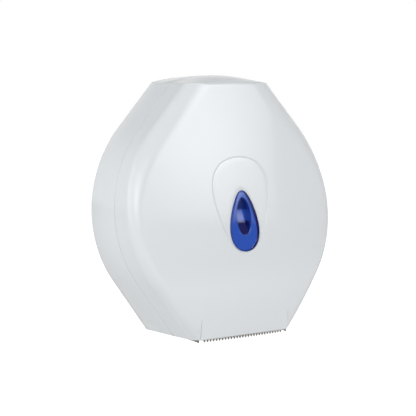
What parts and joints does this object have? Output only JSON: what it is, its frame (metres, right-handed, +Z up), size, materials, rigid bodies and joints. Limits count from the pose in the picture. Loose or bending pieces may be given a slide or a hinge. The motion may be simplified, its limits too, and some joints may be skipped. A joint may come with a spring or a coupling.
{
  "type": "jumbo toilet roll dispenser",
  "caption": "Wall dispenser for one jumbo roll: rear casing, drop-down cover with a blue drop-shaped window, roll hub, toothed tear bar and cam lock.",
  "frame": {"origin": "centre of the four wall screw holes, on the wall plane, which is also the centre of the round sides", "axes": "+Z up, -Y out from the wall towards the user, +X to the user's right; the wall is the plane y = 0"},
  "size_m": [0.3548, 0.1369, 0.375],
  "materials": {
    "shell_white": "glossy white moulded plastic",
    "inner_white": "plain white moulded plastic",
    "window_blue": "clear blue moulded plastic",
    "hub_grey": "light grey moulded plastic",
    "bar_steel": "stamped stainless sheet",
    "bright_steel": "zinc-plated",
    "brake_felt": "pressed felt"
  },
  "bodies": {
    "casing": {"rear_casing": "shell_white", "hinge_pin_left": "bright_steel", "hinge_pin_right": "bright_steel", "spindle_post": "hub_grey", "spindle_screws": "bright_steel", "brake_ring": "brake_felt", "spindle_cap": "inner_white", "cap_screw": "bright_steel", "lock_body": "bright_steel", "lock_nut": "bright_steel"},
    "cover": {"front_cover": "shell_white", "sight_window": "window_blue", "window_frame": "inner_white", "window_screws": "bright_steel", "tear_bar": "bar_steel", "tear_bar_screws": "bright_steel", "strike_plate": "bar_steel", "strike_screws": "bright_steel"},
    "hub": {"roll_hub": "hub_grey", "core_adaptor": "inner_white"},
    "lock": {"lock_barrel": "inner_white", "lock_cam": "bar_steel", "cam_screw": "bright_steel"}
  },
  "joints": [
    {"name": "cover_hinge", "type": "hinge", "parent": "casing", "child": "cover", "pos_m": [0, -0.083, -0.17513], "axis": [1, 0, 0], "range_deg": [0, 95]},
    {"name": "hub_spin", "type": "hinge", "parent": "casing", "child": "hub", "pos_m": [0, -0.05, -0.01], "axis": [0, 1, 0], "continuous": true},
    {"name": "lock_turn", "type": "hinge", "parent": "casing", "child": "lock", "pos_m": [0, -0.024, 0.18], "axis": [0, 0, -1], "range_deg": [0, 90]}
  ]
}
